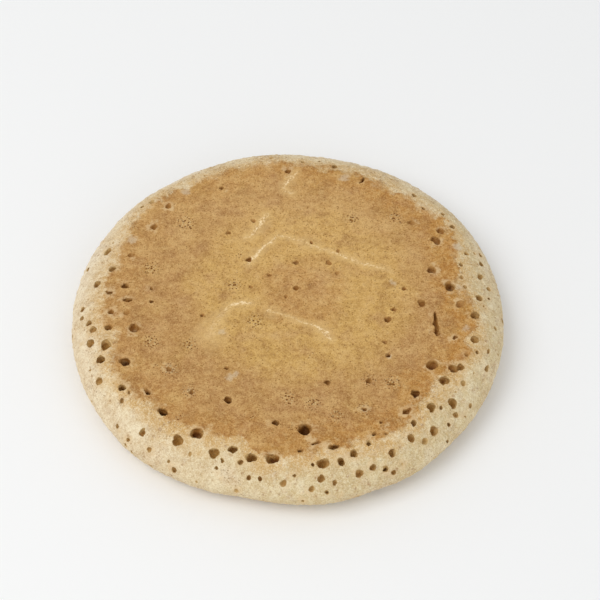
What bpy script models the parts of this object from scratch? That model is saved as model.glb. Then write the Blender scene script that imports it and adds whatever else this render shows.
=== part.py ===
"""A thick griddle pancake, lying flat with its browned face up.

It is one piece of batter and so one solid: a turned disc with a slightly uneven outline, cut by the
bubbles that burst open at its skin. Metres, +Z up, origin at the middle of the flat underside.
"""

import math
import random

import bmesh
import bpy
from mathutils import Matrix, Vector, noise

MM = 0.001

# Driving sizes of the disc.
RIM_RADIUS = 48.0 * MM  # mean reach of the rim, the widest line
RIM_HEIGHT = 5.6 * MM  # the rim lies below half height, as poured batter slumps
THICKNESS = 12.2 * MM
FACE_RADIUS = 40.4 * MM  # mean reach of the flat browned face
FOOT_RADIUS = 41.5 * MM  # mean reach of the flat underside
SHOULDER_POWER = 1.55  # superellipse from face to rim: 1 is a bevel, 2 a quarter ellipse
BELLY_POWER = 2.0  # the same from rim to underside

# Slow swells of the rim and of the face's edge: bearing and half width in degrees, then height in mm.
RIM_SWELLS = ((50, 25, 0.5), (228, 12, 0.6), (259, 9, -0.6), (281, 9, 0.8), (303, 10, 0.7))
FACE_SWELLS = (
    (8, 9, -2.8), (32, 9, 1.8), (72, 14, -1.2), (98, 9, 0.9), (126, 5, -1.2), (139, 10, 1.3),
    (163, 12, -0.8), (196, 7, -0.8), (210, 9, 1.8), (252, 9, -1.5), (265, 6, 1.8), (301, 8, 1.2),
    (321, 8, -1.3), (344, 14, 1.3),
)  # fmt: skip

# The large burst bubbles: bearing in degrees, then reach, length round the disc and width in mm.
LARGE_BUBBLES = (
    (2, 42.4, 1.9, 1.8), (6, 36.1, 2.4, 1.9), (11, 43.8, 1.8, 1.5), (15, 33.2, 1.7, 1.6),
    (27, 37.4, 2.0, 1.4), (145, 37.1, 1.9, 1.5), (160, 43.2, 2.4, 1.6), (167, 40.1, 1.7, 1.8),
    (173, 42.7, 1.8, 1.6), (174, 36.2, 1.5, 1.8), (180, 35.3, 1.0, 2.2), (190, 43.1, 1.7, 1.6),
    (193, 34.4, 2.0, 2.1), (194, 44.1, 1.8, 1.7), (197, 41.3, 2.2, 1.8), (201, 43.3, 2.0, 1.8),
    (206, 38.8, 2.0, 1.9), (207, 45.4, 1.9, 1.7), (214, 42.4, 2.3, 1.5), (228, 45.5, 1.5, 1.5),
    (229, 39.7, 2.9, 1.4), (238, 43.1, 2.5, 2.1), (242, 40.2, 3.0, 2.9), (245, 29.8, 1.6, 1.4),
    (249, 42.6, 2.3, 2.1), (254, 41.0, 1.8, 1.8), (260, 42.0, 2.1, 1.8), (266, 42.0, 3.2, 2.2),
    (276, 34.7, 2.6, 2.4), (279, 45.9, 1.6, 1.5), (280, 43.2, 2.5, 1.9), (284, 40.3, 2.8, 1.5),
    (285, 43.5, 1.6, 1.6), (289, 42.7, 1.8, 1.7), (289, 46.2, 1.6, 1.5), (299, 45.1, 1.6, 1.8),
    (306, 44.4, 1.5, 1.6), (313, 45.3, 2.0, 2.2), (317, 41.8, 2.1, 2.0), (317, 37.2, 1.6, 1.5),
    (323, 44.1, 2.1, 2.1), (327, 39.9, 2.0, 1.9), (330, 35.9, 2.0, 1.9), (333, 40.8, 3.0, 1.6),
    (347, 33.2, 4.4, 0.9), (354, 41.3, 2.1, 2.0),
)  # fmt: skip
BUBBLE_DEPTH = 0.95  # half height of a bubble for each unit of its mean width
BUBBLE_SINK = 0.15  # share of that half height by which its middle lies under the skin
BALL_RADIUS = 1.05  # a faceted ball's corners stand this far out, so that its faces lie at about 1

# The small bubbles, scattered by rule: how many on each stretch of skin, and its ends as shares.
# A share of 0 is the middle of a flat or the flat's edge, and 1 the flat's edge or the rim.
SMALL_BUBBLES = {
    "face": (14, 0.1, 0.92),
    "shoulder": (26, 0.15, 0.95),
    "belly": (24, 0.2, 0.95),
    "foot": (12, 0.2, 0.92),
}
SMALL_WIDTH = (0.9 * MM, 1.5 * MM)
BUBBLE_GAP = 0.8 * MM  # least skin left between two bubbles
SEED = 11

# Lumps of the skin: height and size.
LUMP_HEIGHT = 0.16 * MM
LUMP_SIZE = 9.0 * MM

# Fineness of the faceted solid.
SPOKES = 72
RINGS = {"face": 5, "shoulder": 6, "belly": 5, "foot": 2}
LARGE_DETAIL, SMALL_DETAIL = 2, 1

CRUST_COLOUR = (0.57, 0.33, 0.13, 1.0)
CRUST_ROUGHNESS = 0.75


def swelling(bearing, swells):
    """Sum of the swells at a bearing in degrees, in metres."""
    total = 0.0
    for middle, half_width, height in swells:
        away = (bearing - middle + 180) % 360 - 180
        total += height * MM * math.exp(-((away / half_width) ** 2))
    return total


def edges(bearing, upper):
    """Reach of the flat's edge and of the rim at a bearing in degrees."""
    swell = swelling(bearing, RIM_SWELLS)
    flat = FACE_RADIUS + swelling(bearing, FACE_SWELLS) if upper else FOOT_RADIUS + swell
    return flat, RIM_RADIUS + swell


def uneven(point, upper):
    """A point of the even, turned disc moved to its place on the uneven pancake."""
    bearing = math.degrees(math.atan2(point.y, point.x))
    reach = math.hypot(point.x, point.y)
    even_flat = even_edge(upper)
    flat, rim = edges(bearing, upper)
    if reach <= even_flat:
        moved = reach * flat / even_flat
    else:
        moved = flat + (reach - even_flat) * (rim - flat) / (RIM_RADIUS - even_flat)
    scale = moved / reach if reach else 1.0
    return Vector((point.x * scale, point.y * scale, point.z))


def even_edge(upper):
    return FACE_RADIUS if upper else FOOT_RADIUS


def skin_at(reach, flat, rim, upper):
    """Height of the skin at a reach, between the reaches of its flat and its rim, and its normal.

    The normal is given as (outward, upward).
    """
    rise, power = (THICKNESS - RIM_HEIGHT, SHOULDER_POWER) if upper else (RIM_HEIGHT, BELLY_POWER)
    across = min(max((reach - flat) / (rim - flat), 0.0), 1.0)
    down = (1 - across**power) ** (1 / power)
    sign = 1 if upper else -1
    normal = Vector((across ** (power - 1) / (rim - flat), sign * down ** (power - 1) / rise))
    return RIM_HEIGHT + sign * rise * down, normal.normalized()


def reach_on(stretch, share, flat, rim):
    """Reach of a share of the way along the face, shoulder, belly or foot, from its inner end."""
    if stretch in ("face", "foot"):
        return flat * share
    power = SHOULDER_POWER if stretch == "shoulder" else BELLY_POWER
    return flat + (rim - flat) * math.sin(share * math.pi / 2) ** (2 / power)


def half_section():
    """The even disc's half section, from the middle of the top round to the middle of the underside."""
    points = [Vector((0, 0, THICKNESS))]
    for stretch, upper in (("face", True), ("shoulder", True), ("belly", False), ("foot", False)):
        flat, rings = even_edge(upper), RINGS[stretch]
        for ring in range(1, rings + 1) if upper else reversed(range(rings)):
            reach = reach_on(stretch, ring / rings, flat, RIM_RADIUS)
            points.append(Vector((reach, 0, skin_at(reach, flat, RIM_RADIUS, upper)[0])))
    return points


def turned_disc(collection):
    """The half section turned about Z, as a plain mesh object."""
    points = half_section()
    mesh = bpy.data.meshes.new("section")
    mesh.from_pydata(points, [(i, i + 1) for i in range(len(points) - 1)], [])
    section = bpy.data.objects.new("section", mesh)
    collection.objects.link(section)
    screw = section.modifiers.new("turn", "SCREW")
    screw.steps = screw.render_steps = SPOKES
    screw.use_merge_vertices = True
    screw.merge_threshold = 0.01 * MM
    graph = bpy.context.evaluated_depsgraph_get()
    turned = bpy.data.meshes.new_from_object(section.evaluated_get(graph))
    bpy.data.objects.remove(section)
    turned.shade_smooth()
    disc = bpy.data.objects.new("pancake", turned)
    collection.objects.link(disc)
    return disc


def make_uneven(disc):
    """Moves the disc's vertices to the uneven outline and adds the skin's lumps. The foot stays flat."""
    noise.seed_set(SEED)
    for vertex in disc.data.vertices:
        upper = vertex.co.z > RIM_HEIGHT
        vertex.co = uneven(vertex.co, upper)
        if vertex.co.z > 0:
            lump = noise.noise_vector(vertex.co / LUMP_SIZE) * LUMP_HEIGHT
            vertex.co += lump * min(vertex.co.z / RIM_HEIGHT, 1.0)


def bubble_matrix(bearing, reach, length, width, upper):
    """Place of a unit ball that becomes one bubble: it rises almost straight, leaning with the skin."""
    height, normal = skin_at(reach, *edges(bearing, upper), upper)
    turn = Matrix.Rotation(math.radians(bearing), 3, "Z")
    axis = turn @ Vector((normal.x, 0, normal.y + (1 if upper else -1))).normalized()
    depth = (length + width) / 2 * BUBBLE_DEPTH
    along = turn @ Vector((0, 1, 0))
    frame = Matrix((along.cross(axis) * width / 2, along * length / 2, axis * depth)).transposed()
    skin = turn @ Vector((reach, 0, height))
    return Matrix.Translation(skin - axis * depth * BUBBLE_SINK) @ frame.to_4x4()


def small_bubbles(taken):
    """Bubbles scattered by rule, each one clear of those already taken."""
    draw = random.Random(SEED)
    found = []
    for stretch, (count, inner, outer) in SMALL_BUBBLES.items():
        upper = stretch in ("face", "shoulder")
        flat = stretch in ("face", "foot")
        wanted = len(found) + count
        while len(found) < wanted:
            share = draw.uniform(inner**2, outer**2) ** 0.5 if flat else draw.uniform(inner, outer)
            bearing, width = draw.uniform(0, 360), draw.uniform(*SMALL_WIDTH)
            reach = reach_on(stretch, share, *edges(bearing, upper))
            matrix = bubble_matrix(bearing, reach, width, width, upper)
            middle = matrix.translation
            if all((middle - other).length > (width + size) / 2 + BUBBLE_GAP for other, size in taken):
                taken.append((middle, width))
                found.append(matrix)
    return found


def bubble_cutter(collection):
    """One mesh of all the bubbles, kept out of the render: it is only cut away."""
    balls = bmesh.new()
    taken = []
    for bearing, reach, length, width in LARGE_BUBBLES:
        matrix = bubble_matrix(bearing, reach * MM, length * MM, width * MM, True)
        taken.append((matrix.translation, max(length, width) * MM))
        bmesh.ops.create_icosphere(balls, subdivisions=LARGE_DETAIL, radius=BALL_RADIUS, matrix=matrix)
    for matrix in small_bubbles(taken):
        bmesh.ops.create_icosphere(balls, subdivisions=SMALL_DETAIL, radius=BALL_RADIUS, matrix=matrix)
    mesh = bpy.data.meshes.new("bubbles")
    balls.to_mesh(mesh)
    balls.free()
    mesh.shade_smooth()
    cutter = bpy.data.objects.new("bubbles", mesh)
    cutter.hide_render = True
    cutter.display_type = "WIRE"
    collection.objects.link(cutter)
    return cutter


def centre_on_origin(disc, cutter):
    """Shifts both so that the origin lies under the middle of the outline."""
    xs = [vertex.co.x for vertex in disc.data.vertices]
    ys = [vertex.co.y for vertex in disc.data.vertices]
    shift = Matrix.Translation((-(min(xs) + max(xs)) / 2, -(min(ys) + max(ys)) / 2, 0))
    disc.data.transform(shift)
    cutter.data.transform(shift)


def crust():
    """The browned crumb."""
    material = bpy.data.materials.new("crust")
    material.use_nodes = True
    shader = material.node_tree.nodes["Principled BSDF"]
    shader.inputs["Base Color"].default_value = CRUST_COLOUR
    shader.inputs["Roughness"].default_value = CRUST_ROUGHNESS
    shader.inputs["Metallic"].default_value = 0.0
    return material


def new_collection(name):
    collection = bpy.data.collections.new(name)
    bpy.context.scene.collection.children.link(collection)
    return collection


def main():
    for thing in list(bpy.data.objects):
        bpy.data.objects.remove(thing, do_unlink=True)
    disc = turned_disc(new_collection("pancake"))
    make_uneven(disc)
    cutter = bubble_cutter(new_collection("cutters"))
    centre_on_origin(disc, cutter)
    burst = disc.modifiers.new("burst bubbles", "BOOLEAN")
    burst.operation = "DIFFERENCE"
    burst.solver = "EXACT"
    burst.object = cutter
    disc.data.materials.append(crust())


main()
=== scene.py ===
"""A thick griddle pancake as it comes off the hot plate, lying browned face up on a pale table.

The solid's frame comes first, then the camera and the light, and then the pancake in the order in
which it is made: the poured disc, the bubbles that burst in it, the baked skin, the marks the griddle
leaves, and the crust's finish. Lengths are in metres, and MM turns millimetres into them. The finish
itself works in millimetres.
"""

import math

import bmesh
import bpy
import numpy as np
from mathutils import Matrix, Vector


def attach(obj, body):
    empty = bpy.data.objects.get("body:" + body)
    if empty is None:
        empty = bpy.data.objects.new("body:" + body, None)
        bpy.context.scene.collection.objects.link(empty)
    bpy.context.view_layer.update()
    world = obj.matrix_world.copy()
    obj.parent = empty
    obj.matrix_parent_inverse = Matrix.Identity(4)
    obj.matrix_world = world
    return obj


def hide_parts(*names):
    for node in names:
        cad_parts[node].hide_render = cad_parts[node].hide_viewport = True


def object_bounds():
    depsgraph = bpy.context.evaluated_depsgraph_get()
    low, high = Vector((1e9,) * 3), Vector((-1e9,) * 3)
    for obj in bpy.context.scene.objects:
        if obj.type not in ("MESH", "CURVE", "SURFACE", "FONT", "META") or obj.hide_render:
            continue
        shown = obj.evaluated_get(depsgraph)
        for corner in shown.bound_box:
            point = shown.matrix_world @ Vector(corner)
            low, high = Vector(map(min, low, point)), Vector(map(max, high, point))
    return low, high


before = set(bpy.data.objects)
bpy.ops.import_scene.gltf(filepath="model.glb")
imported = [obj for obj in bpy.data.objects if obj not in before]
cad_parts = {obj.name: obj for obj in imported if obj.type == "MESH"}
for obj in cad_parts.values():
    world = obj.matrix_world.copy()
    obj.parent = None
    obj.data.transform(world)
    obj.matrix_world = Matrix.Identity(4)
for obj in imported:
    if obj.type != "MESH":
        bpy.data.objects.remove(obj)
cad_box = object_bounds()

MM = 0.001
scene = bpy.context.scene

# --------------------------------------------------------------------------------------------------
# The table and the light. The pancake is seen from above and in front, from 450 mm away. One broad
# window-like light stands at the upper left, and the white sheet throws light back up at the rim.

CAMERA_HEIGHT_ANGLE = math.radians(51.45)
CAMERA_DISTANCE = 450 * MM
CAMERA_LENS, SENSOR_WIDTH = 120.46, 36  # mm, for a square picture
CAMERA_AIM = Vector((2.73, 4.87, 6.1)) * MM
NEAREST_SEEN = 10 * MM

looking = Vector((0, math.cos(CAMERA_HEIGHT_ANGLE), -math.sin(CAMERA_HEIGHT_ANGLE)))
camera = bpy.data.objects.new("camera", bpy.data.cameras.new("camera"))
camera.data.lens = CAMERA_LENS
camera.data.sensor_width = SENSOR_WIDTH
camera.data.clip_start = NEAREST_SEEN
camera.location = CAMERA_AIM - looking * CAMERA_DISTANCE
camera.rotation_euler = looking.to_track_quat("-Z", "Y").to_euler()
scene.collection.objects.link(camera)
scene.camera = camera
scene.view_settings.view_transform = "Standard"


def softbox(name, where, size, power, tint):
    """A square lamp that faces the pancake, with its size in metres and its power in watts."""
    lamp = bpy.data.lights.new(name, "AREA")
    lamp.shape, lamp.size, lamp.energy, lamp.color = "SQUARE", size, power, tint
    holder = bpy.data.objects.new(name, lamp)
    holder.location = where
    holder.rotation_euler = (-Vector(where)).to_track_quat("-Z", "Y").to_euler()
    scene.collection.objects.link(holder)


WINDOW_TINT, ROOM_TINT = (1.0, 0.985, 0.96), (0.97, 0.985, 1.0)
ROOM_BRIGHTNESS = 0.68
softbox("window_light", where=(-0.47, -0.2, 0.74), size=0.6, power=2.97, tint=WINDOW_TINT)
softbox("room_fill", where=(0.45, -0.8, 0.35), size=0.9, power=1.5, tint=ROOM_TINT)

world = bpy.data.worlds.new("room")
world.use_nodes = True
world.node_tree.nodes["Background"].inputs["Color"].default_value = (*ROOM_TINT, 1)
world.node_tree.nodes["Background"].inputs["Strength"].default_value = ROOM_BRIGHTNESS
scene.world = world

TABLE_SIZE = 4.0
TABLE_GAP = 0.02 * MM  # keeps the sheet just clear of the pancake's flat
TABLE_COLOUR, TABLE_ROUGHNESS = (0.93, 0.93, 0.925, 1), 0.9
table_mesh = bpy.data.meshes.new("table")
sheet = bmesh.new()
bmesh.ops.create_grid(sheet, x_segments=1, y_segments=1, size=TABLE_SIZE / 2)
sheet.to_mesh(table_mesh)
sheet.free()
table = bpy.data.objects.new("table", table_mesh)
table.location.z = -TABLE_GAP
scene.collection.objects.link(table)
table_white = bpy.data.materials.new("table_white")
table_white.use_nodes = True
paper = table_white.node_tree.nodes["Principled BSDF"]
paper.inputs["Base Color"].default_value = TABLE_COLOUR
paper.inputs["Roughness"].default_value = TABLE_ROUGHNESS
table_mesh.materials.append(table_white)

# --------------------------------------------------------------------------------------------------
# The poured disc: batter ladled on a griddle and turned once. The griddle flattens both faces, and
# between them the batter slumps to a rim below half height. The pour is never quite round, and the
# browned face's edge wanders more.

RIM_RADIUS, RIM_HEIGHT, THICKNESS = 48.0 * MM, 5.6 * MM, 12.2 * MM
FACE_RADIUS, FOOT_RADIUS = 40.4 * MM, 41.5 * MM
# Powers of the curves from face to rim and from rim to foot: 1 is a bevel and 2 a quarter ellipse.
SHOULDER_POWER, BELLY_POWER = 1.55, 2.0
FLAT_PART = 0.6  # share of the rings that goes to each flat, the rest going to its curve
# Slow swells: bearing and half width in degrees, then height in mm.
RIM_SWELLS = ((50, 25, 0.5), (228, 12, 0.6), (259, 9, -0.6), (281, 9, 0.8), (303, 10, 0.7))
FACE_SWELLS = (
    (8, 9, -2.8), (32, 9, 1.8), (72, 14, -1.2), (98, 9, 0.9), (126, 5, -1.2), (139, 10, 1.3),
    (163, 12, -0.8), (196, 7, -0.8), (210, 9, 1.8), (252, 9, -1.5), (265, 6, 1.8), (301, 8, 1.2),
    (321, 8, -1.3), (344, 14, 1.3),
)  # fmt: skip
# The browning runs out farther in some places than the flat does, and stops short in others.
BROWNED_SWELLS = (
    (11, 3, 1.4), (68, 9, 2.0), (129, 6, 1.8), (150, 4, 1.2), (187, 4, 1.5), (195, 3, -1.5),
    (225, 3, -1.3), (255, 3, -2.0), (310, 3, 1.6), (316, 3, -0.8),
)  # fmt: skip
# The underside's browning has the face's outline, turned so many degrees and short of the foot's edge.
FOOT_TURN, FOOT_SHORT = 137, 1.2 * MM


class Value:
    """A number in a node tree. Arithmetic between two of them adds Math nodes to the tree."""

    def __init__(self, maker, socket):
        self.maker, self.socket = maker, socket

    def maths(self, operation, *others):
        node = self.maker.add("ShaderNodeMath", operation=operation)
        for socket, value in zip(node.inputs, (self, *others)):
            self.maker.wire(socket, value)
        return Value(self.maker, node.outputs[0])

    def __add__(self, other):
        return self.maths("ADD", other)

    def __sub__(self, other):
        return self.maths("SUBTRACT", other)

    def __rsub__(self, other):
        return self * -1.0 + other

    def __mul__(self, other):
        return self.maths("MULTIPLY", other)

    def __truediv__(self, other):
        return self.maths("DIVIDE", other)

    def __rtruediv__(self, other):
        return self ** -1.0 * other

    def __pow__(self, other):
        return self.maths("POWER", other)

    __radd__ = __add__

    def ramp(self, start, end, smooth=True):
        """0 where this is at start and 1 where it is at end, kept between them."""
        kind = "SMOOTHSTEP" if smooth else "LINEAR"
        inputs = {"Value": self, "From Min": start, "From Max": end}
        return self.maker.get("ShaderNodeMapRange", "Result", inputs, interpolation_type=kind)


class Maker:
    """Adds nodes to a tree. Inputs are given by name, each as a number, a socket or a Value."""

    def __init__(self, tree):
        self.tree = tree

    def wire(self, socket, value):
        if isinstance(value, Value):
            value = value.socket
        if isinstance(value, bpy.types.NodeSocket):
            self.tree.links.new(value, socket)
        else:
            socket.default_value = value

    def add(self, kind, inputs=None, **settings):
        node = self.tree.nodes.new(kind)
        for name, setting in settings.items():
            setattr(node, name, setting)
        for name, value in (inputs or {}).items():
            self.wire(next(s for s in node.inputs if s.enabled and s.name == name), value)
        return node

    def get(self, kind, output, inputs=None, **settings):
        """One output of a new node, as a Value."""
        node = self.add(kind, inputs, **settings)
        return Value(self, next(s for s in node.outputs if s.enabled and s.name == output))

    def parts(self, vector):
        """The x, y and z of a vector."""
        split = self.add("ShaderNodeSeparateXYZ", {"Vector": vector})
        return [Value(self, socket) for socket in split.outputs]

    def vector(self, x, y, z):
        return self.get("ShaderNodeCombineXYZ", "Vector", {"X": x, "Y": y, "Z": z})

    def joined(self, operation, output, *inputs):
        """One output of a vector node that takes these inputs in turn."""
        node = self.add("ShaderNodeVectorMath", operation=operation)
        for socket, value in zip(node.inputs, inputs):
            self.wire(socket, value)
        return Value(self, node.outputs[output])

    def summed(self, one, other):
        return self.joined("ADD", "Vector", one, other)

    def scaled(self, vector, by):
        inputs = {"Vector": vector, "Scale": by}
        return self.get("ShaderNodeVectorMath", "Vector", inputs, operation="SCALE")

    def noise(self, where, size, detail=2.0, roughness=0.5, offset=0.0):
        """Noise between -1 and 1 with features of this size in mm. An offset gives another pattern."""
        moved = self.summed(where, (offset, offset * 0.7, -offset))
        inputs = {"Vector": moved, "Scale": 1 / size, "Detail": detail, "Roughness": roughness}
        noise = self.add("ShaderNodeTexNoise", inputs)
        return Value(self, noise.outputs[0]) * 2.0 - 1.0


class GeometryMaker(Maker):
    """A new Geometry Nodes tree with named inputs, each given with its default."""

    KINDS = {float: "NodeSocketFloat", int: "NodeSocketInt", bpy.types.Object: "NodeSocketObject",
             bpy.types.Material: "NodeSocketMaterial"}  # fmt: skip

    def __init__(self, name, named):
        super().__init__(bpy.data.node_groups.new(name, "GeometryNodeTree"))
        face = self.tree.interface
        face.new_socket("Geometry", in_out="INPUT", socket_type="NodeSocketGeometry")
        face.new_socket("Geometry", in_out="OUTPUT", socket_type="NodeSocketGeometry")
        self.values = {}
        for label, value in named.items():
            kind = next(socket for of, socket in self.KINDS.items() if isinstance(value, of))
            item = face.new_socket(label, in_out="INPUT", socket_type=kind)
            self.values[item.identifier] = value
        self.entry = self.tree.nodes.new("NodeGroupInput")

    def given(self, name):
        return Value(self, self.entry.outputs[name])

    def geometry_of(self, name):
        """The geometry of the object that is given under this name."""
        return self.get("GeometryNodeObjectInfo", "Geometry", {"Object": self.given(name)})

    def position(self):
        return self.get("GeometryNodeInputPosition", "Position")

    def moved(self, geometry, **inputs):
        """The geometry with its points put at a Position or shifted by an Offset."""
        return self.get("GeometryNodeSetPosition", "Geometry", {"Geometry": geometry, **inputs})

    def thinned(self, geometry, unwanted):
        """The geometry without the points for which this holds."""
        inputs = {"Geometry": geometry, "Selection": unwanted}
        return self.get("GeometryNodeDeleteGeometry", "Geometry", inputs, domain="POINT")

    def keep(self, geometry, name, value, kind="FLOAT"):
        """The geometry with a named attribute stored on its points."""
        inputs = {"Geometry": geometry, "Name": name, "Value": value}
        settings = {"data_type": kind, "domain": "POINT"}
        return self.get("GeometryNodeStoreNamedAttribute", "Geometry", inputs, **settings)

    def kept(self, name, kind="FLOAT"):
        return self.get("GeometryNodeInputNamedAttribute", "Attribute", {"Name": name}, data_type=kind)

    def end(self, geometry, material):
        """Closes the tree: its instances are made real and its material set."""
        real = self.get("GeometryNodeRealizeInstances", "Geometry", {"Geometry": geometry})
        done = self.get("GeometryNodeSetMaterial", "Geometry", {"Geometry": real, "Material": material})
        self.wire(self.tree.nodes.new("NodeGroupOutput").inputs[0], done)

    def put_on(self, thing):
        """Adds the tree to an object as a modifier, its inputs set by their identifiers."""
        modifier = thing.modifiers.new(self.tree.name, "NODES")
        modifier.node_group = self.tree
        for identifier, value in self.values.items():
            modifier[identifier] = value
        return thing


def new_object(name, mesh):
    thing = bpy.data.objects.new(name, mesh)
    scene.collection.objects.link(thing)
    return thing


def made_plain(thing):
    """The evaluated object as a plain mesh, the object itself being removed."""
    graph = bpy.context.evaluated_depsgraph_get()
    mesh = bpy.data.meshes.new_from_object(thing.evaluated_get(graph))
    bpy.data.objects.remove(thing)
    return mesh


def swelling(bearing, swells):
    """The sum of the swells at a bearing in degrees, in metres."""
    total = None
    for middle, half_width, height in swells:
        away = (bearing - middle).maths("WRAP", -180.0, 180.0) / half_width
        bump = (away * away * -1.0).maths("EXPONENT") * (height * MM)
        total = bump if total is None else total + bump
    return total


def between(share, whole, none):
    """The first of two values where the share is 1, the second where it is 0, and a blend between."""
    return whole * share + none * (1.0 - share)


crust = bpy.data.materials.new("pancake_crust")
crust.use_nodes = True

pour = GeometryMaker("poured_disc", {
    "Rim radius": RIM_RADIUS, "Rim height": RIM_HEIGHT, "Thickness": THICKNESS,
    "Face radius": FACE_RADIUS, "Foot radius": FOOT_RADIUS, "Shoulder power": SHOULDER_POWER,
    "Belly power": BELLY_POWER, "Spokes": 360, "Rings": 160, "Crust": crust,
})  # fmt: skip
rings_and_spokes = {"Segments": pour.given("Spokes"), "Rings": pour.given("Rings")}
ball = pour.get("GeometryNodeMeshUVSphere", "Mesh", rings_and_spokes)
x, y, z = pour.parts(pour.position())
turn = y.maths("ARCTAN2", x)
bearing = turn * (180 / math.pi)
upper = z.maths("GREATER_THAN", 0.0)
# From a pole of the ball to its equator, the first part of the way is the flat and the rest the curve.
down_from_pole = z.maths("ABSOLUTE").maths("ARCCOSINE") / (math.pi / 2)
along_flat = down_from_pole.ramp(0.0, FLAT_PART, smooth=False)
along_curve = down_from_pole.ramp(FLAT_PART, 1.0, smooth=False)
power = between(upper, pour.given("Shoulder power"), pour.given("Belly power"))
root = power ** -1.0
rise = between(upper, pour.given("Thickness") - pour.given("Rim height"), pour.given("Rim height"))
across = (along_curve * (math.pi / 2)).maths("SINE") ** (root * 2.0)
down = (1.0 - across ** power).maths("MAXIMUM", 0.0) ** root
rim_swell = swelling(bearing, RIM_SWELLS)
face_edge = pour.given("Face radius") + swelling(bearing, FACE_SWELLS)
flat = between(upper, face_edge, pour.given("Foot radius") + rim_swell)
reach = along_flat * flat + across * (pour.given("Rim radius") + rim_swell - flat)
height = pour.given("Rim height") + (upper * 2.0 - 1.0) * rise * down
place = pour.vector(reach * turn.maths("COSINE"), reach * turn.maths("SINE"), height)
# How far out of the browning each point lies, over the skin: below 0 where it is browned. It is worked
# out from the ball, so it is kept before the points move.
foot_edge = pour.given("Foot radius") - FOOT_SHORT + swelling(bearing + FOOT_TURN, FACE_SWELLS)
browned_edge = face_edge + swelling(bearing, BROWNED_SWELLS)
from_edge = reach - between(upper, browned_edge, foot_edge) + (1.0 - down) * rise
disc = pour.moved(pour.keep(ball, "edge", from_edge), Position=place)
pour.end(disc, pour.given("Crust"))

skin_mesh = made_plain(pour.put_on(new_object("skin", bpy.data.meshes.new("skin"))))
points = np.empty((len(skin_mesh.vertices), 3), np.float32)
skin_mesh.vertices.foreach_get("co", points.ravel())
# The outline's middle goes where the solid's is.
cad_middle = (np.array(cad_box[0]) + np.array(cad_box[1])) / 2
points[:, :2] += (cad_middle - (points.min(0) + points.max(0)) / 2)[:2]
skin_mesh.vertices.foreach_set("co", points.ravel())
skin = new_object("skin", skin_mesh)
skin.hide_render = True

# --------------------------------------------------------------------------------------------------
# The burst bubbles: gas rises through the setting batter and opens at the skin, thickest round the
# shoulder, where the batter sets last. They are shafts of three depths that stand almost upright, their
# mouths out of round. Most are placed as they lie, and small ones strewn round the rim and underneath.

# Bearing in degrees, then reach, length round the disc and width in mm. Those without a width are round.
USUAL_BUBBLES = (
    (2, 42.4, 1.9, 1.8), (6, 36.1, 2.8, 1.9), (7, 26.0, 1.0), (7, 45.1, 0.9), (15, 33.2, 2.0, 1.7),
    (15, 39.9, 0.9), (19, 42.4, 0.9), (27, 37.4, 2.6, 1.6), (30, 39.9, 1.7, 1.4), (41, 40.8, 1.0),
    (47, 42.5, 1.1), (58, 27.3, 0.8), (63, 4.0, 1.2), (72, 17.3, 0.8), (75, 41.7, 1.4), (90, 38.2, 1.2),
    (109, 24.2, 1.0), (127, 14.4, 1.2), (160, 37.5, 1.2), (167, 40.1, 1.5, 1.6), (173, 42.7, 1.8, 1.6),
    (174, 36.2, 1.5, 1.8), (174, 30.2, 0.8), (180, 35.3, 1.0, 2.2), (184, 45.3, 1.1), (185, 39.0, 1.1),
    (187, 43.9, 1.3), (191, 39.6, 1.4, 1.7), (193, 34.4, 2.0, 2.1), (193, 19.0, 0.9),
    (194, 44.1, 1.8, 1.7), (197, 41.3, 2.5, 2.0), (217, 31.6, 1.0), (217, 41.8, 1.2, 0.5),
    (228, 45.5, 1.5), (231, 32.4, 1.1), (235, 22.7, 0.9), (238, 43.1, 2.5, 2.1), (242, 40.2, 2.8, 2.7),
    (243, 44.4, 0.7), (249, 42.6, 2.1, 1.9), (252, 43.4, 0.7), (257, 43.1, 1.1), (266, 42.0, 3.0, 2.0),
    (274, 40.2, 1.6, 0.9), (276, 47.2, 0.9), (278, 38.9, 1.1, 0.7), (279, 45.9, 1.5, 1.3),
    (280, 43.2, 2.5, 1.9), (284, 40.3, 2.8, 1.5), (289, 42.7, 1.8, 1.7), (289, 46.2, 1.6, 1.5),
    (291, 24.0, 1.3), (293, 46.0, 1.3, 1.2), (298, 47.8, 0.9), (299, 45.1, 1.6, 1.8), (300, 41.2, 0.9),
    (306, 44.4, 1.5, 1.6), (308, 28.1, 1.2), (310, 39.2, 2.4, 0.9), (313, 45.3, 2.0, 2.2),
    (314, 31.8, 0.8), (317, 41.8, 2.1, 2.0), (323, 44.1, 2.1), (327, 39.9, 2.4, 2.3),
    (330, 35.9, 2.4, 2.0), (330, 43.6, 0.9), (331, 24.1, 0.9), (332, 40.2, 1.6, 2.0), (334, 41.4, 1.6),
    (341, 43.4, 0.9), (344, 33.9, 1.3, 1.1), (344, 37.8, 1.0), (345, 42.0, 1.5, 1.8), (346, 22.5, 1.5),
    (346, 33.4, 2.3, 0.8), (349, 32.8, 2.0, 1.1), (352, 32.6, 2.3, 0.8), (353, 23.4, 1.1),
    (354, 41.3, 2.1, 2.0), (358, 29.5, 1.7, 1.4),
)  # fmt: skip
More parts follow.
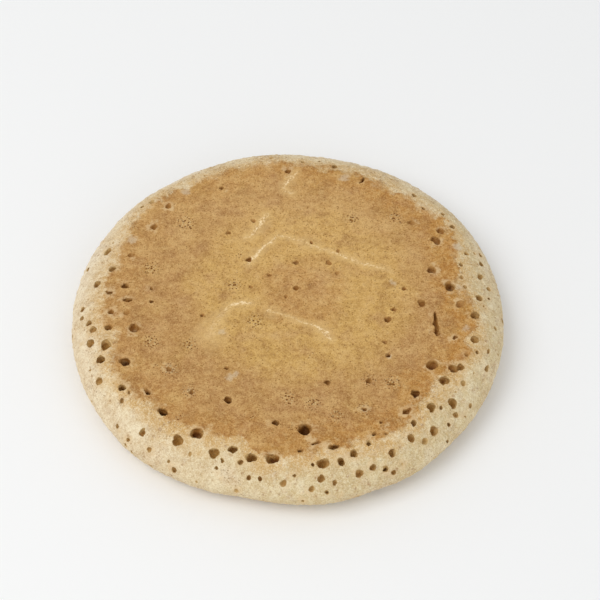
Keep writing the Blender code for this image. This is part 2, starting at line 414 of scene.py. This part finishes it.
SHALLOW_BUBBLES = (
    (6, 39.6, 0.9), (11, 43.8, 1.8, 1.5), (34, 13.3, 0.8), (39, 35.7, 1.2), (49, 13.9, 1.0),
    (51, 18.0, 0.9), (81, 10.8, 1.2), (116, 1.0, 0.7), (120, 8.2, 1.2), (125, 23.6, 1.1),
    (135, 38.8, 1.5, 1.4), (145, 37.1, 1.9, 1.5), (155, 8.8, 0.9), (160, 43.2, 2.4, 1.6),
    (177, 39.5, 1.6), (186, 35.4, 1.1), (190, 43.1, 1.7, 1.6), (207, 45.4, 1.9, 1.7), (217, 44.1, 0.9),
    (257, 47.2, 0.9), (269, 46.1, 1.4), (309, 46.0, 1.2), (339, 41.4, 0.9), (339, 46.2, 1.6, 1.2),
    (344, 45.5, 0.8), (358, 37.8, 1.7, 1.5),
)  # fmt: skip
DEEP_BUBBLES = (
    (64, 39.4, 0.5, 2.2), (115, 36.3, 1.2, 0.8), (181, 30.0, 0.9), (201, 43.3, 2.0, 1.8),
    (206, 38.8, 2.0, 1.9), (214, 42.4, 2.3, 1.5), (220, 38.8, 1.8, 1.0), (229, 39.7, 2.8, 1.5),
    (245, 29.8, 1.6, 1.4), (251, 44.9, 0.8), (254, 41.0, 1.8), (260, 42.0, 2.1, 1.8), (263, 45.6, 0.7),
    (266, 33.1, 1.5, 1.0), (276, 34.9, 2.5, 2.6), (279, 38.6, 1.7, 0.8), (280, 47.9, 0.8),
    (285, 43.5, 1.6), (294, 41.7, 1.0), (296, 46.9, 1.2), (297, 40.3, 1.3, 0.8), (299, 33.7, 1.0),
    (301, 38.3, 0.9), (309, 42.2, 1.5, 1.1), (317, 37.2, 1.8, 1.6), (325, 26.7, 0.9),
)  # fmt: skip
# How deep each kind is, next to the usual one.
DEPTHS = ((USUAL_BUBBLES, 1.0), (SHALLOW_BUBBLES, 0.55), (DEEP_BUBBLES, 1.7))


def on_table(bearing, reach):
    """The place at a bearing in degrees and a reach in mm."""
    turned = math.radians(bearing)
    return Vector((math.cos(turned), math.sin(turned), 0)) * reach * MM


placed = [(*row[:3], row[-1], deepness) for rows, deepness in DEPTHS for row in rows]
mouths_mesh = bpy.data.meshes.new("mouths")
mouths_mesh.from_pydata([on_table(*row[:2]) for row in placed], [], [])
for column, label, unit in ((2, "length", MM), (3, "width", MM), (4, "deepness", 1)):
    attribute = mouths_mesh.attributes.new(label, "FLOAT", "POINT")
    attribute.data.foreach_set("value", [row[column] * unit for row in placed])

burst = GeometryMaker("burst_bubbles", {
    "Skin": skin, "Half height to width": 0.78, "Half height to width on the face": 0.5,
    "Least half height": 0.12 * MM, "Sunk part": 0.12, "Gap between": 1.9 * MM,
    "Shoulder per m2": 65000.0, "Share beneath": 0.1, "Smallest": 0.35 * MM, "Largest": 1.2 * MM,
    "Clear of placed": 2.2 * MM, "Size share": 0.88, "Face size share": 1.1,
    "Lost to softening": 0.28 * MM, "Unevenness": 0.75 * MM, "Unevenness size": 1.3, "Seed": 4,
    "Crust": crust,
})  # fmt: skip
skin_given = burst.geometry_of("Skin")
STRAIGHT_UP, STRAIGHT_DOWN, FAR_ABOVE = (0.0, 0.0, 1.0), (0.0, 0.0, -1.0), 0.05
EDGE_FADE = 1.5 * MM  # over which the bubbles of the crumb give way to the face's
MOSTLY_SMALL = 3.0  # power of an even chance that makes most of the strewn bubbles small

# The placed ones are dropped on the skin from above.
drop = burst.add("GeometryNodeRaycast", {
    "Target Geometry": skin_given, "Source Position": burst.summed(burst.position(), (0, 0, FAR_ABOVE)),
    "Ray Direction": STRAIGHT_DOWN, "Ray Length": 2 * FAR_ABOVE,
})  # fmt: skip
hit_normal, hit_position = (Value(burst, drop.outputs[name]) for name in ("Hit Normal", "Hit Position"))
mouths = burst.keep(burst.given("Geometry"), "leaning", hit_normal, "FLOAT_VECTOR")
mouths = burst.moved(mouths, Position=hit_position)

# The strewn ones keep clear of those, and off the face, whose own are all placed.
beneath = burst.parts(burst.position())[2].maths("LESS_THAN", RIM_HEIGHT)
off_face = burst.kept("edge").ramp(0.0, EDGE_FADE)
share = off_face.maths("MAXIMUM", beneath * burst.given("Share beneath"))
strewn = burst.add("GeometryNodeDistributePointsOnFaces", {
    "Mesh": skin_given, "Distance Min": burst.given("Gap between"),
    "Density Max": burst.given("Shoulder per m2"), "Density Factor": share, "Seed": burst.given("Seed"),
}, distribute_method="POISSON")  # fmt: skip
strewn_points, strewn_normal = (Value(burst, strewn.outputs[name]) for name in ("Points", "Normal"))
near = burst.get("GeometryNodeProximity", "Distance", {"Geometry": mouths}, target_element="POINTS")
spare = burst.thinned(strewn_points, near.maths("LESS_THAN", burst.given("Clear of placed")))
chance = burst.get("FunctionNodeRandomValue", "Value", {"Seed": burst.given("Seed")}, data_type="FLOAT")
smallest, largest = burst.given("Smallest"), burst.given("Largest")
size = smallest + (largest - smallest) * chance ** MOSTLY_SMALL
for label, value in (("length", size), ("width", size), ("deepness", 1.0)):
    spare = burst.keep(spare, label, value)
spare = burst.keep(spare, "leaning", strewn_normal, "FLOAT_VECTOR")


def edge_at(maker, skin_given, place):
    """How far out of the browning the skin lies, nearest to a place."""
    inputs = {"Mesh": skin_given, "Value": maker.kept("edge"), "Sample Position": place}
    return maker.get("GeometryNodeSampleNearestSurface", "Value", inputs, data_type="FLOAT")


# Each is a ball, drawn out between the skin's own upright and the true one, then roughened.
mouths_as_points = burst.get("GeometryNodeMeshToPoints", "Points", {"Mesh": mouths})
together = burst.add("GeometryNodeJoinGeometry")
for geometry in (mouths_as_points, spare):
    burst.wire(together.inputs[0], geometry)
lean = burst.kept("leaning", "FLOAT_VECTOR")
upright = burst.scaled(STRAIGHT_UP, burst.parts(lean)[2].maths("SIGN"))
axis = burst.joined("NORMALIZE", "Vector", burst.summed(lean, upright))
x, y, z = burst.parts(burst.position())
facing = burst.get("FunctionNodeAxesToRotation", "Rotation", {
    "Primary Axis": axis, "Secondary Axis": burst.vector(y * -1.0, x, 0.0),
}, primary_axis="Z", secondary_axis="X")  # fmt: skip
on_face = edge_at(burst, skin_given, burst.position()).ramp(0.0, -EDGE_FADE)
share = between(on_face, burst.given("Face size share"), burst.given("Size share"))
softened = burst.given("Lost to softening")
length, width = (burst.kept(label) * share + softened for label in ("length", "width"))
steepness = between(
    on_face, burst.given("Half height to width on the face"), burst.given("Half height to width")
)
depth = (length + width) * 0.5 * steepness * burst.kept("deepness") + burst.given("Least half height")
sinking = burst.scaled(axis, depth * burst.given("Sunk part") * -1.0)
sunk = burst.moved(Value(burst, together.outputs[0]), Offset=sinking)
one = burst.get("GeometryNodeMeshIcoSphere", "Mesh", {"Radius": 1.0, "Subdivisions": 4})
many = burst.get("GeometryNodeInstanceOnPoints", "Instances", {
    "Points": sunk, "Instance": one, "Rotation": facing,
    "Scale": burst.vector(length * 0.5, width * 0.5, depth),
})  # fmt: skip
balls = burst.get("GeometryNodeRealizeInstances", "Geometry", {"Geometry": many})
where, unevenness_size = burst.scaled(burst.position(), 1 / MM), burst.given("Unevenness size")
shoves = (burst.noise(where, unevenness_size, offset=shift) for shift in (31.0, 62.0, 93.0))
balls = burst.moved(balls, Offset=burst.scaled(burst.vector(*shoves), burst.given("Unevenness")))
burst.end(balls, burst.given("Crust"))

bubbles = new_object("bubbles", made_plain(burst.put_on(new_object("mouths", mouths_mesh))))
bubbles.hide_render = True
BUBBLE_FINENESS = 0.14 * MM
fuse = bubbles.modifiers.new("fuse", "REMESH")
fuse.mode, fuse.voxel_size = "VOXEL", BUBBLE_FINENESS

# --------------------------------------------------------------------------------------------------
# The baked skin: the disc with its bubbles cut away, its lips softened, and the low relief of the crust.
# The browned face is a thin dry skin that stands a little proud of the crumb at its ragged edge.

SKIN_FINENESS, MOST_TRIANGLES = 0.2 * MM, 190000
TONGUE_SIZE, TOOTH_SIZE, FRAY = 3.6, 1.3, 2.6  # mm, of the browned edge's ragged outline
LIP_REACH, LIP_END = 0.8 * MM, 0.1 * MM  # from a bubble's side: where its raised lip starts and is full
SKIN_DEPTH = 0.15 * MM  # what lies deeper is inside a bubble
CRUST_STEP_HALF_WIDTH = 0.35  # mm
GRIDDLE_TOUCH = 1.2 * MM  # height below which the griddle flattens the skin
PITS_BELOW = 0.6  # the griddle's print is pitted where the puckers lie below this

baked = skin.copy()
baked.data = skin_mesh.copy()
baked.name = "baked"
baked.hide_render = False
scene.collection.objects.link(baked)
cut = baked.modifiers.new("bubbles", "BOOLEAN")
cut.operation, cut.solver, cut.object = "DIFFERENCE", "MANIFOLD", bubbles
even = baked.modifiers.new("even_mesh", "REMESH")
even.mode, even.voxel_size = "VOXEL", SKIN_FINENESS
lips = baked.modifiers.new("soften_lips", "SMOOTH")
lips.factor, lips.iterations = 0.5, 2


def ragged(maker, where, from_edge):
    """How far out of the browned face a point lies, in mm, once the edge is frayed. Where is in mm."""
    tongues = maker.noise(where, TONGUE_SIZE, detail=1.0, offset=3.0) * FRAY
    teeth = maker.noise(where, TOOTH_SIZE, detail=5.0, roughness=0.7, offset=8.0) * FRAY
    return from_edge / MM + tongues + teeth


relief = GeometryMaker("crust_relief", {
    "Skin": skin, "Bubbles": bubbles, "Lump size": 7.0, "Lump height": 0.2 * MM, "Pucker size": 1.6,
    "Pucker height": 0.06 * MM, "Crumb size": 1.3, "Crumb height": 0.38 * MM, "Lip height": 0.07 * MM,
    "Crust step": 0.14 * MM, "Griddle print": 0.16 * MM, "Fewest points": 1000, "Crust": crust,
})  # fmt: skip
# A speck that bubbles have cut off all round would hang loose, and is left out.
one_for_each = {"Value": 1.0, "Group ID": relief.get("GeometryNodeInputMeshIsland", "Island Index")}
points_of_island = relief.get("GeometryNodeAccumulateField", "Total", one_for_each, data_type="FLOAT")
whole = relief.thinned(
    relief.given("Geometry"), points_of_island.maths("LESS_THAN", relief.given("Fewest points"))
)
place = relief.position()
skin_given, holes = relief.geometry_of("Skin"), relief.geometry_of("Bubbles")
from_edge = edge_at(relief, skin_given, place)
hollow, to_bubble = (
    relief.get("GeometryNodeProximity", "Distance", {"Geometry": surface, "Sample Position": place})
    for surface in (skin_given, holes)
)
where = relief.scaled(place, 1 / MM)
out_of_face = ragged(relief, where, from_edge)
lump = relief.noise(where, relief.given("Lump size"), offset=1.0) * relief.given("Lump height")
pucker = relief.noise(where, relief.given("Pucker size"), detail=3.0, offset=5.0)
crumb = relief.noise(where, relief.given("Crumb size"), detail=4.0, roughness=0.6, offset=7.0)
lip = (to_bubble + pucker * 0.5 * MM).ramp(LIP_REACH, LIP_END) * hollow.ramp(SKIN_DEPTH, SKIN_DEPTH / 3)
step = out_of_face.ramp(CRUST_STEP_HALF_WIDTH, -CRUST_STEP_HALF_WIDTH)
lift = lump + pucker * relief.given("Pucker height")
lift = lift + crumb * relief.given("Crumb height") * out_of_face.ramp(-0.5, 1.0)
lift = lift + step * relief.given("Crust step") + lip * relief.given("Lip height")
# Beneath, the griddle stops everything that would stand out, and only pits remain.
off_griddle = relief.parts(place)[2].ramp(0.0, GRIDDLE_TOUCH)
lift = between(off_griddle, lift, (pucker - PITS_BELOW) * relief.given("Griddle print"))
for label, value in (("edge", from_edge), ("hollow", hollow), ("to_bubble", to_bubble)):
    whole = relief.keep(whole, label, value / MM)
normal = relief.get("GeometryNodeInputNormal", "Normal")
relief.end(relief.moved(whole, Offset=relief.scaled(normal, lift)), relief.given("Crust"))
relief.put_on(baked)
thin_out = baked.modifiers.new("thin_out", "DECIMATE")
thin_out.use_collapse_triangulate = True
graph = bpy.context.evaluated_depsgraph_get()
squares = len(baked.evaluated_get(graph).data.polygons)
thin_out.ratio = MOST_TRIANGLES / (2 * squares)

# --------------------------------------------------------------------------------------------------
# The griddle's marks on the browned face: pale creases where the drying skin folded, patches pocked with
# pinholes, and a few dusted with loose flour. The finish draws them all, and the patches are kept on the
# mesh's points for it.

# Each crease runs through these points: x, y and half width in mm, then how pale it has dried, 0 to 1.
CREASES = (
    ((-4.7, 24.7, 0.35, 0.6), (-6.2, 22.4, 0.5, 0.9), (-7.5, 20.1, 0.5, 0.9), (-8.4, 18.4, 0.4, 0.5),
     (-9.7, 17.8, 0.3, 0.2)),
    ((-8.8, 10.3, 0.3, 0.4), (-7.6, 12.2, 0.5, 0.9), (-5.1, 15.5, 0.3, 0.6), (-2.2, 18.4, 0.3, 0.7),
     (-0.9, 18.4, 0.3, 0.6), (1.8, 17.2, 0.3, 0.4), (3.9, 16.6, 0.4, 0.2), (5.3, 15.5, 0.4, 0.4),
     (8.3, 14.5, 0.25, 0.3), (12.8, 12.2, 0.4, 0.6), (14.8, 11.3, 0.3, 0.4), (17.7, 10.0, 0.3, 0.5),
     (22.7, 8.4, 0.25, 0.1)),
    ((-16.7, -9.7, 1.0, 0.1), (-14.9, -4.5, 0.5, 0.3), (-13.2, -2.4, 0.4, 0.3),
     (-11.8, -1.1, 0.35, 0.6), (-9.9, -1.1, 0.4, 0.9), (-8.1, -0.8, 0.3, 0.6)),
    ((-4.0, -3.0, 0.3, 0.7), (-3.2, -3.6, 0.3, 0.7), (-1.8, -3.7, 0.2, 0.2), (1.9, -5.5, 0.25, 0.5),
     (4.3, -6.7, 0.25, 0.4), (6.2, -7.3, 0.3, 0.5), (7.4, -8.2, 0.5, 1.0), (8.6, -9.7, 0.45, 1.0),
     (9.5, -11.1, 0.3, 0.5)),
    ((2.1, 38.0, 0.3, 0.6), (0.4, 35.5, 0.45, 0.9), (-1.2, 33.0, 0.3, 0.6), (0.8, 31.2, 0.35, 0.4)),
)  # fmt: skip
# x and y, then size, in mm.
POCKED = (
    (-23.4, 22.3, 2.6), (24.1, 23.8, 2.2), (14.5, 23.5, 2.0), (-11.9, 4.2, 2.2), (-7.1, -6.2, 2.4),
    (0.2, -26.4, 2.0), (5.7, -27.9, 2.2), (10.3, -31.1, 2.0), (16.2, -29.5, 2.0), (22.3, -22.7, 2.4),
    (17.4, -21.9, 2.0), (-29.4, -11.7, 2.4), (-21.1, -12.3, 2.2), (-25.2, -19.0, 2.4),
    (-20.7, -24.8, 2.0), (-30.5, 9.0, 2.4),
)  # fmt: skip
DUSTED = (
    (-23.5, 31.7, 1.3), (13.1, 36.0, 1.4), (23.3, 4.6, 1.4), (-12.5, -21.1, 1.2), (-10.8, -20.1, 1.0),
    (38.2, 15.2, 1.4), (37.9, 3.6, 1.2), (38.9, -7.9, 1.0), (21.7, -15.5, 0.9), (-35.2, 17.2, 1.6),
    (-14.3, -9.1, 1.1),
)  # fmt: skip

baked_mesh = made_plain(baked)
places = np.empty((len(baked_mesh.vertices), 3), np.float32)
baked_mesh.vertices.foreach_get("co", places.ravel())
places /= MM


def keep_patches(name, rows):
    """A point attribute that is 1 in the middle of each patch of the face and fades away from it."""
    total = np.zeros(len(places))
    for x, y, size in rows:
        away = np.hypot(places[:, 0] - x, places[:, 1] - y) / size
        total = np.maximum(total, np.exp(-(away**2)))
    total[places[:, 2] < RIM_HEIGHT / MM] = 0
    attribute = baked_mesh.attributes.new(name, "FLOAT", "POINT")
    attribute.data.foreach_set("value", total.astype(np.float32))


keep_patches("pocked", POCKED)
keep_patches("dusted", DUSTED)

# --------------------------------------------------------------------------------------------------
# The crust's finish: pale cream crumb at the shoulder and the rim, and over it the browned face,
# yellower in a ring and ruddier towards its edge. Bubbles darken inwards, partly as painted shade. All
# of it is matt, dry and slightly grained.

finish = Maker(crust.node_tree)


def colour(red, green, blue):
    """A colour as the eye names it, 0 to 255, in the units of light that a material takes."""
    shares = (part / 255 for part in (red, green, blue))
    light = (part / 12.92 if part <= 0.04045 else ((part + 0.055) / 1.055) ** 2.4 for part in shares)
    return (*light, 1.0)


# The browned face.
MIDDLE_TAN, RING_HONEY, OUTER_TAN = colour(198, 149, 85), colour(214, 171, 96), colour(188, 141, 84)
BACK_STRAW_AND_LIGHT, EDGE_RUDDY = colour(224, 180, 114), colour(183, 124, 46)
ROSY_TAN, YELLOW_TAN = colour(187, 141, 95), colour(198, 156, 80)
DARK_TAN, LIGHT_TAN = colour(146, 98, 48), colour(224, 186, 124)
# The crumb.
LEFT_CREAM_LIT, RIGHT_CREAM_SHADED, BACK_CREAM_SHADED = colour(229, 206, 168), colour(211, 189, 141), colour(217, 191, 144)
ROSY_CREAM, PALE_CREAM, GOLDEN = colour(224, 198, 166), colour(240, 224, 198), colour(207, 162, 90)
DARK_CREAM, LIGHT_CREAM = colour(188, 156, 110), colour(250, 238, 206)
BLOTCHED, STAINED = colour(194, 158, 112), colour(196, 174, 146)
SPECK_BROWN, FLECK_BROWN = colour(150, 100, 52), colour(146, 112, 70)
# What marks the face.
PORE_SHADE, PINHOLE_SHADE, LOOSE_CRUMB = colour(142, 98, 38), colour(116, 68, 4), colour(228, 198, 142)
FLOUR, SMEARED, CREASED = colour(208, 190, 162), colour(228, 192, 130), colour(252, 224, 176)
EDGE_SHADOW_BROWN, FLAKED_AND_LIP_HIGHLIGHT = colour(156, 100, 44), colour(220, 190, 144)
# Inside the bubbles, from the mouth down: the crumb's own colour, darker downwards partly as painted
# shade.
CRUMB_HOLLOW_AND_SHADE = colour(198, 166, 110), colour(190, 150, 90), colour(182, 138, 70)
FACE_HOLLOW_AND_SHADE = colour(190, 144, 82), colour(158, 107, 46), colour(108, 62, 16)
DARK_HOLLOW, LIGHT_HOLLOW = colour(122, 84, 40), colour(216, 184, 130)


def mixed(share, under, over):
    inputs = {"Factor": share, "A": under, "B": over}
    return finish.get("ShaderNodeMix", "Result", inputs, data_type="RGBA", blend_type="MIX")


def varied(base, dark, light, *shares_of_noise):
    """The colour, moved towards the dark one and the light one by so much of each noise."""
    for noise, share in shares_of_noise:
        base = mixed(noise.ramp(0.0, -0.5, smooth=False) * share, base, dark)
        base = mixed(noise.ramp(0.0, 0.5, smooth=False) * share, base, light)
    return base


def marked(name):
    """A number that the mesh keeps on its points."""
    return finish.get("ShaderNodeAttribute", "Fac", attribute_name=name)


def dots(spacing, radius, offset, dimensions="3D"):
    """1 inside small balls strewn this far apart in mm, where they meet the skin, and 0 outside them.

    In 2D they are upright rods instead, each of which meets the flat face.
    """
    voronoi = finish.add("ShaderNodeTexVoronoi", feature="F1", voronoi_dimensions=dimensions)
    finish.wire(voronoi.inputs["Vector"], finish.summed(where, (offset, -offset, offset)))
    finish.wire(voronoi.inputs["Scale"], 1 / spacing)
    away = Value(finish, voronoi.outputs["Distance"]) * spacing
    return (radius - away).ramp(-0.05, 0.06)


def from_creases(place, roughness):
    """How pale the creases make a place, 0 to 1, and how many half widths it lies from the nearest.

    The roughness frays their sides.
    """
    palest, nearest = None, None
    for crease in CREASES:
        for (ax, ay, a_half, a_pale), (bx, by, b_half, b_pale) in zip(crease, crease[1:]):
            start, along = Vector((ax, ay, 0)), Vector((bx - ax, by - ay, 0))
            off = finish.joined("SUBTRACT", "Vector", place, start)
            part = finish.joined("DOT_PRODUCT", "Value", off, along / along.length_squared)
            part = part.ramp(0.0, 1.0, smooth=False)
            away = finish.joined("DISTANCE", "Value", off, finish.scaled(along, part))
            away = away / (part * (b_half - a_half) + a_half)
            pale = (away + roughness).ramp(1.7, 0.4) * (part * (b_pale - a_pale) + a_pale)
            palest = pale if palest is None else palest.maths("MAXIMUM", pale)
            nearest = away if nearest is None else nearest.maths("MINIMUM", away)
    return palest, nearest


where = finish.scaled(finish.get("ShaderNodeTexCoord", "Object"), 1 / MM)
x, y, z = finish.parts(where)
FACE_REACH = 40.0  # mm from the middle that count as 1 in each direction
to_back = y / FACE_REACH
to_right = (x * 0.95 - y * 0.15) / FACE_REACH
to_right_front = (x * 0.87 - y * 0.5) / FACE_REACH
to_front = to_back.ramp(0.2, -0.8)
far_back = to_back.ramp(0.4, 1.0)

# The noises that vary the crust, from broad to fine.
broad = finish.noise(where, 9.0, detail=2.0, offset=12.0)
tinted = finish.noise(where, 6.0, detail=5.0, roughness=0.6, offset=61.0)
cloudy = finish.noise(where, 4.5, detail=6.0, roughness=0.62, offset=17.0)
blotch = finish.noise(where, 1.9, detail=3.0, roughness=0.6, offset=71.0)
mottled = finish.noise(where, 1.3, detail=4.0, roughness=0.7, offset=19.0)
grain = finish.noise(where, 0.42, detail=3.0, roughness=0.75, offset=23.0)
fine_grain = finish.noise(where, 0.24, detail=1.0, offset=97.0)

# Where it is browned. In some stretches the browning ends all at once, and in others it fades.
out_of_face = ragged(finish, where, marked("edge") * MM)
softness = finish.noise(where, 8.0, detail=1.0, offset=53.0).ramp(-0.25, 0.3) * 1.4 + 0.5
browned = ((out_of_face + grain * 0.5) / softness).ramp(1.0, -1.0)

# The browned face, ring by ring from a little right of the middle.
RING_MIDDLE = (3.0, 2.2)
off_middle = (x - RING_MIDDLE[0]) ** 2.0 + (y - RING_MIDDLE[1]) ** 2.0
ring = off_middle.maths("SQRT") + broad * 5.0 + cloudy * 3.0
tan = mixed(ring.ramp(6.0, 12.0), MIDDLE_TAN, RING_HONEY)
tan = mixed(ring.ramp(20.0, 28.0), tan, OUTER_TAN)
# Painted light: the face is lighter towards the back, with a strawier tint there too.
tan = mixed(to_back.ramp(-0.2, 1.0) * 0.45, tan, BACK_STRAW_AND_LIGHT)
ruddy = (out_of_face + broad * 2.5 + cloudy * 5.0).ramp(-10.0, -2.0) * (0.62 + to_right * 0.42)
tan = mixed(ruddy, tan, EDGE_RUDDY)
tan = mixed(tinted.ramp(0.0, 0.4) * 0.5, tan, ROSY_TAN)
tan = mixed(tinted.ramp(0.0, -0.4) * 0.35, tan, YELLOW_TAN)
tan = varied(tan, DARK_TAN, LIGHT_TAN, (cloudy, 0.7), (mottled, 0.7), (grain, 0.5), (fine_grain, 0.45))

# The crumb, with a golden tint where the browned skin ends. It is lighter on the left and darker to the
# right and at the back, partly in its own tone and partly as painted light and shade.
cream = mixed(to_right_front.ramp(-0.8, 0.9), LEFT_CREAM_LIT, RIGHT_CREAM_SHADED)
cream = mixed(to_back.ramp(0.3, 1.1) * 0.6, cream, BACK_CREAM_SHADED)
cream = mixed(tinted.ramp(0.0, 0.4) * 0.5, cream, ROSY_CREAM)
cream = mixed(blotch.ramp(0.1, 0.45) * 0.8, cream, BLOTCHED)
golden = (out_of_face - to_front * 1.6 + cloudy * 3.5 + mottled * 1.5).ramp(6.2, -0.4)
cream = mixed(golden * (0.82 + to_front * 0.16), cream, GOLDEN)
# Painted light in part: the outer crumb of the rim is paler towards the left, where the light falls, and
# towards the back.
to_left = 0.25 - x * 0.004
pale_rim_and_light = 0.05 + to_left + to_back * 0.25 + to_back.ramp(-0.1, 0.4) * to_left
cream = mixed((out_of_face + cloudy * 2.0).ramp(5.0, 10.0) * pale_rim_and_light, cream, PALE_CREAM)
stain = finish.noise(where, 3.0, detail=4.0, roughness=0.65, offset=103.0).ramp(0.12, 0.4)
cream = mixed(stain * 0.45, cream, STAINED)
specks = dots(1.3, 0.2 + blotch * 0.6 + far_back * 0.05, 5.0)
cream = mixed(specks * 0.7, cream, SPECK_BROWN)
cream = varied(
    cream, DARK_CREAM, LIGHT_CREAM, (cloudy, 0.6), (mottled, 0.55), (grain, 0.6), (fine_grain, 0.4)
)
flecks = dots(0.62, tinted.ramp(-0.4, 0.4) * 0.17 + grain * 0.12 + far_back * 0.06, 67.0)
cream = mixed(flecks * 0.6, cream, FLECK_BROWN)

skin_colour = mixed(browned, cream, tan)

# Pores and pinholes in the browned face, their dark dots painted shade for pits too small for the mesh,
# and loose crumbs and flour on it.
pock = marked("pocked") + finish.noise(where, 4.0, offset=41.0).ramp(0.2, 0.6) * 0.7
pores = dots(1.1, 0.02 + blotch.ramp(-0.3, 0.3) * 0.17, 59.0, "2D") * browned
skin_colour = mixed(pores * 0.7, skin_colour, PORE_SHADE)
pinholes = dots(0.85, pock * 0.3 - 0.05 + grain * 0.12, 11.0, "2D") * browned
skin_colour = mixed(pinholes * 0.95, skin_colour, PINHOLE_SHADE)
crumbs = dots(0.75, pock * 0.24 - 0.04, 29.0, "2D") * browned
skin_colour = mixed(crumbs * 0.6, skin_colour, LOOSE_CRUMB)
dust = (marked("dusted") + cloudy * 0.5 + mottled * 0.6 + grain * 0.4).ramp(0.35, 0.85)
skin_colour = mixed(dust * 0.5, skin_colour, FLOUR)

# The creases, swaying a little from their lines, and a paler smear on either side of each.
aside, along = (finish.noise(where, 1.6, detail=4.0, offset=shift) * 0.95 for shift in (37.0, 43.0))
swayed = finish.summed(finish.vector(x, y, 0.0), finish.vector(aside, along, 0.0))
fold, off_crease = from_creases(swayed, mottled * 1.3 + grain * 0.8)
on_top = z.maths("GREATER_THAN", RIM_HEIGHT / MM)
smear = (off_crease + cloudy * 4.0 + grain * 2.0).ramp(5.5, 1.5) * on_top
skin_colour = mixed(smear * 0.35, skin_colour, SMEARED)
fold = fold * (mottled * 0.6 + grain * 1.4).ramp(-0.2, 0.4) * on_top
skin_colour = mixed(fold * 1.6, skin_colour, CREASED)

# Painted shadow: darker here and there just inside the browned edge, where the browned skin stands a
# little proud of the crumb.
edge_shadow = (out_of_face + 0.9).maths("ABSOLUTE").ramp(0.9, 0.2)
edge_shadow = edge_shadow * finish.noise(where, 3.0, detail=2.0, offset=83.0).ramp(0.1, 0.4)
skin_colour = mixed(edge_shadow * 0.45, skin_colour, EDGE_SHADOW_BROWN)

# Round some bubbles the skin has dried pale into flakes, which also stand in as a painted highlight on
# their lips.
flaking_and_lip_highlight = (1.1 - marked("to_bubble") + mottled * 2.4 + grain).ramp(0.0, 0.9)
flaking_and_lip_highlight = flaking_and_lip_highlight * finish.noise(where, 3.4, detail=1.0, offset=91.0).ramp(-0.15, 0.3)
flaking_and_lip_highlight = flaking_and_lip_highlight * out_of_face.ramp(-14.0, -4.0)
skin_colour = mixed(flaking_and_lip_highlight * 0.6, skin_colour, FLAKED_AND_LIP_HIGHLIGHT)

# Inside the bubbles it darkens with depth, and more under the browned face, partly as the darker crumb
# within and partly as painted shade.
hollow = marked("hollow")


def deepening_into_shade(colours, last_from, last_at):
    """A bubble's colours from mouth to bottom, darker downwards partly as painted shade, the last
    setting in between these depths in mm.
    """
    mouth, middle, bottom = colours
    return mixed(hollow.ramp(last_from, last_at), mixed(hollow.ramp(0.1, 0.9), mouth, middle), bottom)


inside = mixed(browned, deepening_into_shade(CRUMB_HOLLOW_AND_SHADE, 0.6, 1.9), deepening_into_shade(FACE_HOLLOW_AND_SHADE, 0.9, 1.8))
inside = varied(inside, DARK_HOLLOW, LIGHT_HOLLOW, (mottled, 0.5))
skin_colour = mixed(hollow.ramp(0.04, 0.16), skin_colour, inside)

height = mottled * 0.12 + grain * 0.04 + cloudy * 0.1 + browned * 0.06 - pinholes * 0.05 + crumbs * 0.05
bump = {"Height": height, "Distance": MM, "Strength": 1.0}
grainy_normal = finish.get("ShaderNodeBump", "Normal", bump)
body = crust.node_tree.nodes["Principled BSDF"]
finish.wire(body.inputs["Base Color"], skin_colour)
finish.wire(body.inputs["Roughness"], 0.72 - browned * 0.1 + grain * 0.05)
finish.wire(body.inputs["Normal"], grainy_normal)
body.inputs["Specular IOR Level"].default_value = 0.22

# --------------------------------------------------------------------------------------------------
# The pancake, all one piece, in place of the solid.

pancake = new_object("pancake_crumb", baked_mesh)
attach(pancake, "root")
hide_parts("pancake")
bpy.data.objects.remove(bubbles)
bpy.data.objects.remove(skin)
